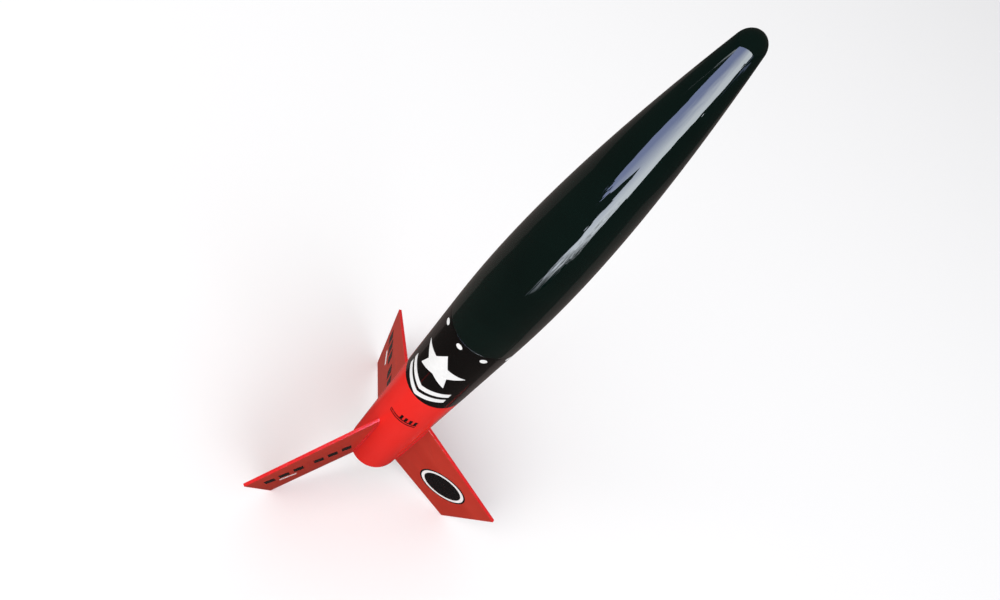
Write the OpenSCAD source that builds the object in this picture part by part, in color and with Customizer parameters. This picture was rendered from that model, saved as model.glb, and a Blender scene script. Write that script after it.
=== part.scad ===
// Model rocket: cardboard body tube, three swept fins, plastic nose cone on a shoulder,
// a replaceable 18 mm motor behind a spring hook, and a packed parachute on an elastic cord.
// The origin is the centre of the body tube's aft end, and +Z runs along the axis to the nose.

/* [Body tube] */
// Outside diameter of the body tube
tube_od = 41.6; // [38:0.1:56]
// Wall of the body tube
tube_wall = 0.55; // [0.4:0.05:1]
// Length of the body tube, from the tail to the nose joint
tube_len = 238; // [225:1:330]

/* [Nose cone] */
// Length of the nose cone ahead of the joint
nose_len = 185; // [120:1:260]
// Radius of the rounded nose tip
nose_tip_r = 5; // [3:0.1:9]
// Fullness of the nose outline, where a larger value keeps it wide for longer
nose_fullness = 2.1; // [1.6:0.1:3]
// Wall of the nose cone and of its shoulder
nose_wall = 1.6; // [1:0.1:2.4]
// Length of the shoulder that slides into the tube
shoulder_len = 20; // [14:1:26]

/* [Fins] */
// Thickness of a fin
fin_t = 2.4; // [2:0.1:4]
// Length of a fin's root along the tube
fin_root = 87.5; // [60:0.5:110]
// Distance that a fin reaches out from the tube at its leading tip
fin_span = 88.7; // [60:0.1:110]
// Height of the leading tip above the tail
fin_tip_lead_z = 28; // [10:1:45]
// Distance from the tube to the trailing tip
fin_trail_span = 63.5; // [40:0.5:80]
// Depth of the trailing tip below the tail
fin_trail_drop = 35; // [20:1:50]

/* [Launch lug] */
// Bore of the launch lug
lug_id = 4; // [3.4:0.1:5.4]
// Wall of the launch lug
lug_wall = 0.4; // [0.3:0.05:0.8]
// Length of the launch lug
lug_len = 60; // [30:1:80]
// Height of the launch lug's aft end above the tail
lug_z = 70; // [20:1:120]

/* [Motor mount] */
// Outside diameter of a motor casing
motor_od = 17.8; // [17.5:0.1:18.2]
// Length of a motor casing
motor_len = 70; // [68:1:74]
// Length of the motor tube
motor_tube_len = 70; // [66:1:80]
// Wall of the motor tube
motor_tube_wall = 0.35; // [0.3:0.05:0.8]
// Thickness of a centering ring
ring_t = 3; // [1.5:0.5:5]
// Length of the thrust ring ahead of the motor
thrust_ring_len = 5; // [3:0.5:6]
// Thickness of the spring-steel hook
hook_t = 0.6; // [0.4:0.1:0.8]
// Width of the spring-steel hook
hook_w = 3.2; // [2.4:0.1:5]

/* [Recovery] */
// Diameter of the rolled parachute
roll_d = 30; // [24:0.5:31]
// Length of the rolled parachute
roll_len = 86; // [60:1:90]
// Diameter of the elastic shock cord
cord_d = 2; // [1.4:0.1:2.4]
// Diameter of one parachute line
line_d = 0.8; // [0.5:0.1:1]

/* [Markings] */
// Radius of the emblem's star
star_r = 17; // [8:0.5:19]
// Radius of a round dot below the nose joint
dot_r = 1.9; // [1:0.1:3]
// Radius of a fin roundel
roundel_r = 21; // [12:0.5:24]

/* [Hidden] */
$fn = 96;

eps = 0.01;               // overshoot of a cutting shape
tube_r = tube_od / 2;
bore_r = tube_r - tube_wall;

// Nose cone and its base
joint_z = tube_len;
shoulder_gap = 0.1;       // radial sliding clearance of the shoulder
shoulder_r = bore_r - shoulder_gap;
shoulder_in_r = shoulder_r - nose_wall;
shoulder_z = joint_z - shoulder_len;
nose_blend = 2.5;         // length over which the inside narrows into the shoulder
base_t = 2;               // thickness of the base disc
base_skirt = 6;           // height of the base's skirt
base_skirt_t = 1.4;
eye_r = 4;                // radius of the eyelet's wire, at its centre
eye_wire_r = 0.9;

// Fins and lug
fin_count = 3;            // equally spaced, each one a node of its own
fin_step = 360 / fin_count;
fin_inset = 1;            // depth that the fin blank reaches in before the tube is cut from it
lug_az = fin_step / 2;
lug_r = lug_id / 2 + lug_wall;
lug_glue_w = 3;           // width of the glue bead under the lug
lug_glue_h = 0.7;         // height of the bead above the tube
lug_x = tube_r + lug_r;

// Motor and its mount
motor_r = motor_od / 2;
motor_gap = 0.1;          // radial running clearance of the motor
motor_tube_in_r = motor_r + motor_gap;
motor_tube_r = motor_tube_in_r + motor_tube_wall;
hook_az = fin_step * 2.5;
slit_play = 0.3;          // clearance of the hook's forward tab in its slit
tab_gap = 0.7;            // axial gap between the forward tab and the thrust ring
thrust_ring_z = motor_tube_len - thrust_ring_len;
tab_z = thrust_ring_z - tab_gap - hook_t / 2;
motor_play = 1.3;         // axial gap between the motor and the forward tab
motor_top_z = tab_z - hook_t / 2 - motor_play;
motor_z = motor_top_z - motor_len;
hook_lip_gap = 0.4;       // axial gap between the motor and the aft lip
hook_gap = 0.15;          // gap between the hook's strip and the motor tube
hook_x = motor_tube_r + hook_gap + hook_t / 2;
lip_z = motor_z - hook_lip_gap - hook_t / 2;
hook_tab_in_r = motor_r - 1.6;
hook_lip_in_r = motor_r - 1.9;
hook_swing = 5.4;         // distance that the aft lip moves out when the hook is flexed
finger_bend = [0.6, -2.8];   // the finger tab's bend and its end, from the lip, as [out, up]
finger_end = [1.8, -8];
notch_play = 0.6;         // clearance of the hook on each side in the aft ring's notch
casing_bore_r = 6.35;
nozzle_len = 9;
nozzle_throat_r = 1.6;
nozzle_exit_r = 3.4;
nozzle_cone = 6;
propellant_len = 33;
delay_len = 10;
charge_len = 6;
cap_len = 3;
aft_ring_z = 8;
forward_ring_z = motor_tube_len - ring_t - 1;

// Recovery train, packed between the motor mount and the nose shoulder
cord_az = 90;             // side of the tube where the cord is stowed
wadding_gap = 0.6;
wadding_z = motor_tube_len + 6;
wadding_len = 36;
wadding_round = 6;
roll_z = wadding_z + wadding_len + 6;
roll_r = roll_d / 2;
roll_round = 3;
roll_off = -2.5;          // the roll sits off centre, away from the cord
mount_t = 1.5;
mount_w = 19;
mount_len = 38;
mount_z = roll_z;
cord_r = cord_d / 2;
cord_wall_gap = 0.65;     // gap between the folded cord and the tube
cord_path_r = bore_r - cord_wall_gap - cord_r;
cord_end_gap = 0.05;      // gap between the cord's glued end and its mount's face
cord_end_r = bore_r - mount_t - cord_r - cord_end_gap;
cord_end_len = 10;        // length of the cord held on its mount
cord_half_angle = 32;     // the folded cord spans this angle each side of cord_az
cord_pitch = 2.4;
cord_start_z = mount_z + mount_len + 3;
cord_lift = 0.3;          // share of the pitch by which a fold's ends lean to the next fold
cord_top_z = shoulder_z - 6;
cord_folds = floor((cord_top_z - cord_start_z) / cord_pitch);
cord_sides = 8;
loop_facets = 32;
arc_steps = 4;            // straight steps in one fold of the cord
loop_r = 2.4;             // radius of the cord's end loop, at its centre
knot_r = 2.2;
knot_reach = 5.1;         // from the loop's centre to the knot's
line_loop_r = 2.1;
line_loop_wire_r = 0.7;
line_knot_r = 1.6;
line_knot_reach = 4;
line_count = 6;
line_pitch = line_d + 0.25;  // from one line to the next, side by side round the roll
line_turns = 2.5;
line_steps = 56;          // points along one line's wrap
line_sides = 6;
line_gap = 0.2;
line_wrap_r = roll_r + line_gap + line_d / 2;
line_bottom_z = roll_z + 7;
line_top_z = roll_z + roll_len - 9;
line_over_z = roll_z + roll_len - 2;   // the lines leave the roll's edge here for their knot
line_lead_angle = 36;
line_lead_steps = 3;
line_knot_angle = -45;
tape_len = 8;
tape_w = 3;
tape_t = 0.2;
tape_z = roll_z + roll_round + 0.5;

// Markings, thin skins on the tube and the fins
skin_t = 0.12;
dot_z = joint_z - 5;
dot_count = 9;
dot_az = 258.5;
emblem_az = 256;
star_z = joint_z - 37;
star_inner = 0.48;
star_edge_steps = 4;
chevron_z = star_z - 24;
chevron_w = 5;
chevron_rise = 9;
chevron_reach = 17;
chevron_step = 9;
chevron_edge_steps = 6;
stripe_z = 114;
stripe_w = 1.1;
stripe_gap = 3;
stripe_az = 242;
stripe_angle = 58;
tick_az = stripe_az + stripe_angle - 4;   // the last tick, and the others follow round the tube
tick_count = 4;
tick_w = 1.8;
tick_len = 5.5;
tick_gap = 0.5;           // the ticks stand clear of the stripe
tick_step = 3.4;
roundel_ring_out = 0.93;
roundel_ring_in = 0.8;
roundel_x = tube_r + 41.7;
roundel_z = 19;
block_w = 7.6;
block_h = 12;
block_lean = 3;
block_step = 10.5;
block_group = 3;          // blocks in one group, of two groups
block_group_gap = 4.5;
block_x = tube_r + 13.2;
block_z = 28;
block_slope = -0.3;       // the row runs down towards the fin's tip
mark_w = 13;
mark_h = 3.5;
mark_x = tube_r + 47.2;
mark_z = 3;

// ---------------------------------------------------------------- helper functions

// A point on the tube's surface flattened for a radial cut, so that it keeps its arc length
function wrap(p) = [tube_r * sin(p[0] / tube_r * 180 / PI), p[1]];

// Points along the straight line from a to b, without b
function steps(a, b, n) = [for (i = [0 : n - 1]) a + (b - a) * i / n];

// Every edge of an outline cut into n steps, then wrapped
function wrapped_outline(points, n) = [
    for (i = [0 : len(points) - 1])
        for (p = steps(points[i], points[(i + 1) % len(points)], n)) wrap(p)
];

// Middle line of the nose wall's rounding ball, at share s of its length
nose_mid_r = tube_r - nose_tip_r;
nose_mid_len = nose_len - nose_tip_r;
nose_steps = 40;
nose_tip_steps = 8;
function nose_mid(s) = [nose_mid_r * (1 - pow(s, nose_fullness)), joint_z + nose_mid_len * s];
function nose_angle(s) = atan2(nose_mid_r * nose_fullness * pow(s, nose_fullness - 1), nose_mid_len);
function nose_side(offset) = [
    for (i = [0 : nose_steps])
        let (s = i / nose_steps, a = nose_angle(s)) nose_mid(s) + offset * [cos(a), sin(a)]
];
function nose_cap(offset) = [
    for (i = [1 : nose_tip_steps])
        let (a = nose_angle(1) + (90 - nose_angle(1)) * i / nose_tip_steps)
            [i == nose_tip_steps ? 0 : offset * cos(a), joint_z + nose_mid_len + offset * sin(a)]
];
function reversed(v) = [for (i = [len(v) - 1 : -1 : 0]) v[i]];

function polar(r, az, z) = [r * cos(az), r * sin(az), z];

// Zigzag of the stowed cord: arcs along the tube's wall, one above the other
function cord_zigzag() = [
    for (fold = [0 : cord_folds - 1])
        let (side = fold % 2 == 0 ? 1 : -1, z = cord_start_z + fold * cord_pitch)
            for (i = [0 : arc_steps])
                polar(cord_path_r, cord_az + side * cord_half_angle * (2 * i / arc_steps - 1),
                    z + cord_pitch * cord_lift * (i == arc_steps ? 1 : i == 0 && fold > 0 ? -1 : 0))
];

// One parachute line: a helix round the roll, then the way to its knot
function line_route(k) = concat(
    [for (i = [0 : line_steps])
        let (t = i / line_steps)
            polar(line_wrap_r, 270 + 360 * line_turns * t,
                line_bottom_z + k * line_pitch + (line_top_z - line_bottom_z) * t) + [0, roll_off, 0]],
    [for (i = [1 : line_lead_steps])
        let (t = i / line_lead_steps)
            polar(line_wrap_r, 270 + 360 * line_turns + line_lead_angle * t,
                line_top_z + k * line_pitch + (line_over_z - line_top_z) * t) + [0, roll_off, 0]],
    [eye_point(line_knot_angle, line_knot_reach)]
);

// A point beside the eyelet's wire, at angle a from its lowest point and reach further out
function eye_point(a, reach) = [(eye_r + reach) * sin(a), 0, shoulder_z - (eye_r + reach) * cos(a)];

// ---------------------------------------------------------------- helper modules

function unit(v) = v / norm(v);
function tangent(path, i) = unit(path[min(i + 1, len(path) - 1)] - path[max(i - 1, 0)]);
function side_of(t) = unit(cross(t, abs(t[2]) < 0.9 ? [0, 0, 1] : [1, 0, 0]));

// A round thread swept along a path, as one closed polyhedron
module thread(path, r, sides) {
    count = len(path);
    points = [
        for (i = [0 : count - 1])
            let (t = tangent(path, i), u = side_of(t), v = cross(t, u))
                for (j = [0 : sides - 1])
                    path[i] + r * (cos(360 * j / sides) * u + sin(360 * j / sides) * v)
    ];
    walls = [
        for (i = [0 : count - 2])
            for (j = [0 : sides - 1])
                let (a = i * sides + j, b = i * sides + (j + 1) % sides)
                    each [[a, a + sides, b], [b, a + sides, b + sides]]
    ];
    start = [for (j = [0 : sides - 1]) j];
    end = [for (j = [sides - 1 : -1 : 0]) (count - 1) * sides + j];
    polyhedron(points, concat(walls, [start, end]));
}

module tube(r_out, r_in, z, length) {
    translate([0, 0, z])
        difference() {
            cylinder(r = r_out, h = length);
            translate([0, 0, -eps]) cylinder(r = r_in, h = length + 2 * eps);
        }
}

module disc(r, z, length) {
    translate([0, 0, z]) cylinder(r = r, h = length);
}

// A flat outline pressed onto the tube: its own x runs round the tube, and its y along the axis
module on_tube(az, z) {
    intersection() {
        rotate([0, 0, az])
            translate([0, 0, z])
                rotate([90, 0, 90])
                    linear_extrude(tube_r + 2) children();
        tube(tube_r + skin_t, tube_r, 0, tube_len);
    }
}

// A flat outline on the side of a fin: its own x runs out from the axis, and its y along the axis
module on_fin(index, side) {
    skin_top = side > 0 ? fin_t / 2 + skin_t : -fin_t / 2;
    rotate([0, 0, index * fin_step])
        translate([0, skin_top, 0])
            rotate([90, 0, 0])
                linear_extrude(skin_t) children();
}

module ring_shape(r_out, r_in) {
    difference() {
        circle(r_out);
        circle(r_in);
    }
}

// A loop of thread round the eyelet's wire, at angle a from the wire's lowest point
module eye_loop(a, r, wire_r) {
    translate(eye_point(a, 0))
        rotate([0, -a, 0])
            rotate([0, 90, 0])
                rotate_extrude($fn = loop_facets) translate([r, 0]) circle(wire_r, $fn = loop_facets);
}

// ---------------------------------------------------------------- airframe

module body_tube() {
    color("red") tube(tube_r, bore_r, 0, tube_len);
}

module fin_blank() {
    polygon([
        [tube_r - fin_inset, 0],
        [tube_r - fin_inset, fin_root],
        [tube_r, fin_root],
        [tube_r + fin_span, fin_tip_lead_z],
        [tube_r + fin_trail_span, -fin_trail_drop],
        [tube_r, 0]
    ]);
}

module fin(index) {
    color("firebrick")
        difference() {
            rotate([0, 0, index * fin_step])
                translate([0, fin_t / 2, 0])
                    rotate([90, 0, 0])
                        linear_extrude(fin_t) fin_blank();
            translate([0, 0, -eps]) cylinder(r = tube_r, h = tube_len);
        }
}

module launch_lug() {
    color("red")
        difference() {
            rotate([0, 0, lug_az])
                union() {
                    translate([lug_x, 0, lug_z]) cylinder(r = lug_r, h = lug_len);
                    translate([tube_r - tube_wall, -lug_glue_w / 2, lug_z])
                        cube([tube_wall + lug_glue_h, lug_glue_w, lug_len]);
                }
            cylinder(r = tube_r, h = tube_len);
            rotate([0, 0, lug_az])
                translate([lug_x, 0, lug_z - eps]) cylinder(r = lug_id / 2, h = lug_len + 2 * eps);
        }
}

module motor_tube() {
    color("tan")
        difference() {
            tube(motor_tube_r, motor_tube_in_r, 0, motor_tube_len);
            rotate([0, 0, hook_az])
                translate([hook_tab_in_r, -hook_w / 2 - slit_play, tab_z - hook_t / 2 - slit_play])
                    cube([motor_tube_r - hook_tab_in_r + eps, hook_w + 2 * slit_play, hook_t + 2 * slit_play]);
        }
}

module thrust_ring() {
    color("peru") tube(motor_tube_in_r, casing_bore_r, thrust_ring_z, thrust_ring_len);
}

module forward_centering_ring() {
    color("tan") tube(bore_r, motor_tube_r, forward_ring_z, ring_t);
}

module aft_centering_ring() {
    notch_w = hook_w + 2 * notch_play;
    color("tan")
        difference() {
            tube(bore_r, motor_tube_r, aft_ring_z, ring_t);
            rotate([0, 0, hook_az])
                translate([hook_tab_in_r, -notch_w / 2, aft_ring_z - eps])
                    cube([motor_tube_r - hook_tab_in_r + hook_t + hook_swing, notch_w, ring_t + 2 * eps]);
        }
}

module shock_cord_mount() {
    color("ivory")
        intersection() {
            tube(bore_r, bore_r - mount_t, mount_z, mount_len);
            rotate([0, 0, cord_az])
                translate([0, -mount_w / 2, mount_z]) cube([tube_r, mount_w, mount_len]);
        }
}

module shock_cord() {
    loop_a = 45;
    knot = eye_point(loop_a, knot_reach);
    zigzag = cord_zigzag();
    last = zigzag[len(zigzag) - 1];
    start = polar(cord_end_r, cord_az - cord_half_angle / 3, mount_z + mount_len - cord_end_len);
    rise = polar(cord_end_r, cord_az - cord_half_angle * 0.7, cord_start_z - cord_r);
    inward = [last[0] * 0.75, last[1] * 0.75, last[2] + 1];
    color("white") {
        thread(concat([start, rise], zigzag, [inward, knot]), cord_r, cord_sides);
        translate(knot) sphere(knot_r, $fn = loop_facets);
        eye_loop(loop_a, loop_r, cord_r);
    }
}

module recovery_wadding() {
    r = bore_r - wadding_gap;
    color("aliceblue")
        translate([0, 0, wadding_z])
            rotate_extrude()
                polygon(concat(
                    [[0, 0]],
                    [for (a = [-90 : 15 : 0])
                        [r - wadding_round + wadding_round * cos(a), wadding_round + wadding_round * sin(a)]],
                    [for (a = [0 : 15 : 90])
                        [r - wadding_round + wadding_round * cos(a),
                         wadding_len - wadding_round + wadding_round * sin(a)]],
                    [[0, wadding_len]]
                ));
}

// ---------------------------------------------------------------- markings

module star_shape() {
    corners = [
        for (i = [0 : 9])
            let (r = i % 2 == 0 ? star_r : star_r * star_inner, a = 90 + i * 36) [r * cos(a), r * sin(a)]
    ];
    polygon(wrapped_outline(corners, star_edge_steps));
}

module chevron_shape() {
    corners = [
        [-chevron_reach, chevron_rise], [0, 0], [chevron_reach, chevron_rise],
        [chevron_reach, chevron_rise + chevron_w], [0, chevron_w], [-chevron_reach, chevron_rise + chevron_w]
    ];
    polygon(wrapped_outline(corners, chevron_edge_steps));
}

module tube_emblem() {
    color("white") {
        on_tube(emblem_az, star_z) star_shape();
        for (i = [0 : 1])
            on_tube(emblem_az, chevron_z - chevron_rise - i * chevron_step) chevron_shape();
    }
}

module joint_dots() {
    color("white")
        for (i = [0 : dot_count - 1])
            on_tube(dot_az + i * 360 / dot_count, dot_z) circle(dot_r);
}

module tube_pinstripes() {
    color("black") {
        for (i = [0 : 1])
            rotate([0, 0, stripe_az])
                rotate_extrude(angle = stripe_angle)
                    translate([tube_r, stripe_z + i * stripe_gap]) square([skin_t, stripe_w]);
        for (i = [0 : tick_count - 1])
            on_tube(tick_az - i * tick_step / tube_r * 180 / PI, stripe_z + stripe_gap + stripe_w + tick_gap)
                translate([-tick_w / 2, 0]) square([tick_w, tick_len]);
    }
}

module block_shape() {
    translate([-block_w / 2 - block_lean, -block_h / 2])
        polygon([[0, 0], [block_w, 0], [block_w + block_lean, block_h], [block_lean, block_h]]);
}

module fin_decals_black() {
    color("black")
        for (index = [0 : fin_count - 1]) {
            on_fin(index, -1)
                translate([roundel_x, roundel_z]) {
                    circle(roundel_r * roundel_ring_in);
                    ring_shape(roundel_r, roundel_r * roundel_ring_out);
                }
            on_fin(index, 1)
                for (i = [0 : 2 * block_group - 1])
                    let (along = i * block_step + floor(i / block_group) * block_group_gap)
                        translate([block_x + along, block_z + block_slope * along]) block_shape();
        }
}

module fin_decals_white() {
    color("white")
        for (index = [0 : fin_count - 1]) {
            on_fin(index, -1)
                translate([roundel_x, roundel_z])
                    ring_shape(roundel_r * roundel_ring_out, roundel_r * roundel_ring_in);
            on_fin(index, 1)
                translate([mark_x, mark_z - mark_h]) square([mark_w, mark_h]);
        }
}

// ---------------------------------------------------------------- motor and hook

// One straight run of the hook's strip from a to b, given as [radius, height]
module hook_run(a, b) {
    d = b - a;
    translate([a[0], 0, a[1]])
        rotate([0, atan2(d[0], d[1]), 0])
            translate([-hook_t / 2, -hook_w / 2, 0]) cube([hook_t, hook_w, norm(d)]);
}

module hook_bend(p) {
    translate([p[0], hook_w / 2, p[1]]) rotate([90, 0, 0]) cylinder(d = hook_t, h = hook_w);
}

module engine_hook() {
    path = [
        [hook_tab_in_r, tab_z], [hook_x, tab_z], [hook_x, lip_z], [hook_lip_in_r, lip_z],
        [hook_x, lip_z] + finger_bend, [hook_x, lip_z] + finger_end
    ];
    color("lightsteelblue")
        rotate([0, 0, hook_az]) {
            for (i = [0 : len(path) - 2]) hook_run(path[i], path[i + 1]);
            for (p = path) hook_bend(p);
        }
}

module motor_casing() {
    color("sienna") tube(motor_r, casing_bore_r, motor_z, motor_len);
}

module motor_nozzle() {
    color("gray")
        translate([0, 0, motor_z])
            rotate_extrude()
                polygon([
                    [nozzle_exit_r, 0], [casing_bore_r, 0], [casing_bore_r, nozzle_len],
                    [nozzle_throat_r, nozzle_len], [nozzle_throat_r, nozzle_cone]
                ]);
}

module propellant_grain() {
    color("dimgray") disc(casing_bore_r, motor_z + nozzle_len, propellant_len);
}

module delay_grain() {
    color("darkgray") disc(casing_bore_r, motor_z + nozzle_len + propellant_len, delay_len);
}

module ejection_charge() {
    color("black") disc(casing_bore_r, motor_z + nozzle_len + propellant_len + delay_len, charge_len);
}

module motor_end_cap() {
    color("lightgray")
        disc(casing_bore_r, motor_z + nozzle_len + propellant_len + delay_len + charge_len, cap_len);
}

// ---------------------------------------------------------------- nose

module nose_cone() {
    outside = concat(
        [[shoulder_r, shoulder_z], [shoulder_r, joint_z]],
        nose_side(nose_tip_r), nose_cap(nose_tip_r)
    );
    hollow_r = nose_tip_r - nose_wall;
    inside = concat(
        [[shoulder_in_r, shoulder_z], [shoulder_in_r, joint_z - nose_blend]],
        nose_side(hollow_r), nose_cap(hollow_r)
    );
    color("black") rotate_extrude() polygon(concat(outside, reversed(inside)));
}

module nose_base() {
    color("black") {
        disc(shoulder_in_r, shoulder_z, base_t);
        tube(shoulder_in_r, shoulder_in_r - base_skirt_t, shoulder_z, base_skirt);
        translate([0, 0, shoulder_z])
            rotate([-90, 0, 0])
                rotate_extrude(angle = 180) translate([eye_r, 0]) circle(eye_wire_r);
        for (side = [-1, 1])
            translate([side * eye_r, 0, shoulder_z]) cylinder(r = eye_wire_r, h = base_t / 2);
    }
}

// ---------------------------------------------------------------- parachute

module parachute() {
    color("orange")
        translate([0, roll_off, roll_z])
            rotate_extrude()
                polygon([
                    [0, 0], [roll_r - roll_round, 0], [roll_r, roll_round],
                    [roll_r, roll_len - roll_round], [roll_r - roll_round, roll_len], [0, roll_len]
                ]);
}

module shroud_lines() {
    color("whitesmoke") {
        for (k = [0 : line_count - 1]) thread(line_route(k), line_d / 2, line_sides);
        translate(eye_point(line_knot_angle, line_knot_reach)) sphere(line_knot_r, $fn = loop_facets);
        eye_loop(line_knot_angle, line_loop_r, line_loop_wire_r);
    }
}

module line_tapes() {
    color("gold")
        for (k = [0 : line_count - 1])
            translate([0, roll_off, 0])
                rotate([0, 0, k * 360 / line_count])
                    intersection() {
                        tube(roll_r + tape_t, roll_r, tape_z, tape_w);
                        translate([0, -tape_len / 2, roll_z]) cube([roll_r * 2, tape_len, roll_len]);
                    }
}

body_tube();
fin(0);  // fin_1
fin(1);  // fin_2
fin(2);  // fin_3
launch_lug();
motor_tube();
thrust_ring();
forward_centering_ring();
aft_centering_ring();
shock_cord_mount();
shock_cord();
recovery_wadding();
tube_emblem();
joint_dots();
tube_pinstripes();
fin_decals_black();
fin_decals_white();
engine_hook();
motor_casing();
motor_nozzle();
propellant_grain();
delay_grain();
ejection_charge();
motor_end_cap();
nose_cone();
nose_base();
parachute();
shroud_lines();
line_tapes();
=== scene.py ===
"""Model rocket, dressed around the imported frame.

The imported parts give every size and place. This script adds the finished surfaces, the packed
parachute and its cords, the materials, a pale floor, soft studio light and the camera.
Lengths are in metres. +Z runs along the rocket's axis from the tail to the nose.
"""

import math
import random

import bmesh
import bpy
from mathutils import Matrix, Vector, noise


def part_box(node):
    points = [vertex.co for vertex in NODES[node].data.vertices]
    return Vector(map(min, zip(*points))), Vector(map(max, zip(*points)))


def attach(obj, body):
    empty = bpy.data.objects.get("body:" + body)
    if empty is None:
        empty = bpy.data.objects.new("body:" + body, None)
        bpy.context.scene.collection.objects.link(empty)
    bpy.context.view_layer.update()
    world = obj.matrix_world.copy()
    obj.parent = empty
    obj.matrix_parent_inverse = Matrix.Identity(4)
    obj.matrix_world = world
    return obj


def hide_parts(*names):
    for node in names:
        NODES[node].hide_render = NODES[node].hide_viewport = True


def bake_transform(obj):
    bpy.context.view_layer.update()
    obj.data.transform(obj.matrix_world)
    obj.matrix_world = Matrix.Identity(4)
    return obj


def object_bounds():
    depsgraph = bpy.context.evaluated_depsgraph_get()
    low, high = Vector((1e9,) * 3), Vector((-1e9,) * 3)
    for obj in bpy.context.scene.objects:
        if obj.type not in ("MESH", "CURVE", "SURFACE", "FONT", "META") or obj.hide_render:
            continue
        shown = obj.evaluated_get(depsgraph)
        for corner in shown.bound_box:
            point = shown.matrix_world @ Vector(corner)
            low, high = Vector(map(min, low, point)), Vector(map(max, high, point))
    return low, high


MM = 0.001
TAU = 2 * math.pi

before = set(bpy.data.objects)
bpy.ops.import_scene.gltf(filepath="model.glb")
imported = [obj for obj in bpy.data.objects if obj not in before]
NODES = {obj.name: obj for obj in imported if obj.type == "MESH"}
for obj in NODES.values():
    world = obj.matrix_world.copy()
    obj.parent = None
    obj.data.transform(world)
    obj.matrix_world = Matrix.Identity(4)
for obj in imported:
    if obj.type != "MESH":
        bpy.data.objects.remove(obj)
cad_low, cad_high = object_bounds()

# ------------------------------------------------------------------ sizes read from the frame

tube_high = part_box("body_tube")[1]
nose_low, nose_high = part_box("nose_cone")
roll_low, roll_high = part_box("parachute")
wad_low, wad_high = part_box("recovery_wadding")
fin_low, fin_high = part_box("fin_1")
mount_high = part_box("shock_cord_mount")[1]

TUBE_R = tube_high.x
TUBE_WALL = 0.55 * MM
JOINT_Z = tube_high.z
TIP_Z = nose_high.z
SHOULDER_Z = nose_low.z
TIP_R = 5.0 * MM
NOSE_FULLNESS = 2.1
NOSE_WALL = 1.6 * MM
SHOULDER_R = TUBE_R - TUBE_WALL - 0.1 * MM
PAINT_SPLIT_Z = 157 * MM

FIN_T = fin_high.y - fin_low.y
FIN_ROOT = fin_high.z
FIN_OUT = fin_high.x
FIN_LEAD_Z = 28 * MM
FIN_TRAIL_OUT = TUBE_R + 63.5 * MM
FIN_TRAIL_Z = fin_low.z
FIN_ANGLES = [0, 120, 240]
FIN_SWEEP = math.atan2(FIN_ROOT - FIN_LEAD_Z, FIN_OUT - TUBE_R)
FILLET_R = 1.5 * MM

ROLL_R = (roll_high.x - roll_low.x) / 2
ROLL_Y = (roll_high.y + roll_low.y) / 2
CANOPY_AREA = 0.0805

CORD_AZ = 90
CORD_R = 1.0 * MM
CORD_PATH_R = TUBE_R - TUBE_WALL - 0.65 * MM - CORD_R
CORD_HALF_ANGLE = 32
CORD_PITCH = 2.4 * MM
CORD_START_Z = mount_high.z + 3 * MM
CORD_TOP_Z = SHOULDER_Z - 6 * MM
CORD_LIFT = 0.3
CORD_STEPS = 6
CORD_FLATNESS = 0.6
MOUNT_T = 1.5 * MM
CORD_KNOT_R = 2.2 * MM
CORD_LOOP_R = 2.4 * MM

EYE_R = 4.0 * MM
CORD_EYE_ANGLE, CORD_KNOT_REACH = 45, 5.1 * MM
LINE_EYE_ANGLE, LINE_KNOT_REACH = -45, 4 * MM

LINE_COUNT = 6
LINE_R = 0.4 * MM
LINE_PITCH = 1.05 * MM
LINE_GAP = 0.2 * MM
LINE_TURNS = 2.5
LINE_STEPS = 60
LINE_LEAD_ANGLE = 36
LINE_LEAD_STEPS = 3
LINE_KNOT_R = 1.6 * MM
LINE_LOOP_R = 2.1 * MM


# ------------------------------------------------------------------ camera, floor and light

def make_camera():
    """A wide lens close to the rocket, looking down along its side with the nose nearest."""
    pitch, yaw, roll = math.radians(56.09), math.radians(-0.1), math.radians(39.1)
    level = Matrix.Rotation(-yaw, 3, "Z") @ Matrix.Rotation(math.radians(90) - pitch, 3, "X")
    turned = level @ Matrix.Rotation(roll, 3, "Z")
    data = bpy.data.cameras.new("camera")
    data.sensor_width = 36
    data.lens = 22.99
    data.shift_x = 0.0405
    data.shift_y = 0.0069
    data.clip_start = 0.005
    data.clip_end = 20
    camera = bpy.data.objects.new("camera", data)
    camera.location = Vector((-16.2, -184.3, 504.3)) * MM
    camera.rotation_mode = "QUATERNION"
    camera.rotation_quaternion = turned.to_quaternion()
    bpy.context.scene.collection.objects.link(camera)
    bpy.context.scene.camera = camera


make_camera()


# ------------------------------------------------------------------ node helpers

def new_material(name):
    material = bpy.data.materials.new(name)
    material.use_nodes = True
    tree = material.node_tree
    tree.nodes.clear()
    out = tree.nodes.new("ShaderNodeOutputMaterial")
    shader = tree.nodes.new("ShaderNodeBsdfPrincipled")
    tree.links.new(shader.outputs[0], out.inputs[0])
    return material, tree, shader


def link(tree, source, target):
    tree.links.new(source, target)


def position(tree, scale=(1, 1, 1)):
    """The point in the row frame, in metres, with each axis scaled."""
    coords = tree.nodes.new("ShaderNodeTexCoord")
    mapping = tree.nodes.new("ShaderNodeMapping")
    mapping.inputs["Scale"].default_value = scale
    link(tree, coords.outputs["Object"], mapping.inputs["Vector"])
    return mapping.outputs[0]


def noise_node(tree, vector, scale, detail=4.0, roughness=0.55, distortion=0.0):
    node = tree.nodes.new("ShaderNodeTexNoise")
    node.inputs["Scale"].default_value = scale
    node.inputs["Detail"].default_value = detail
    node.inputs["Roughness"].default_value = roughness
    node.inputs["Distortion"].default_value = distortion
    link(tree, vector, node.inputs["Vector"])
    return node.outputs["Fac"]


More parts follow.
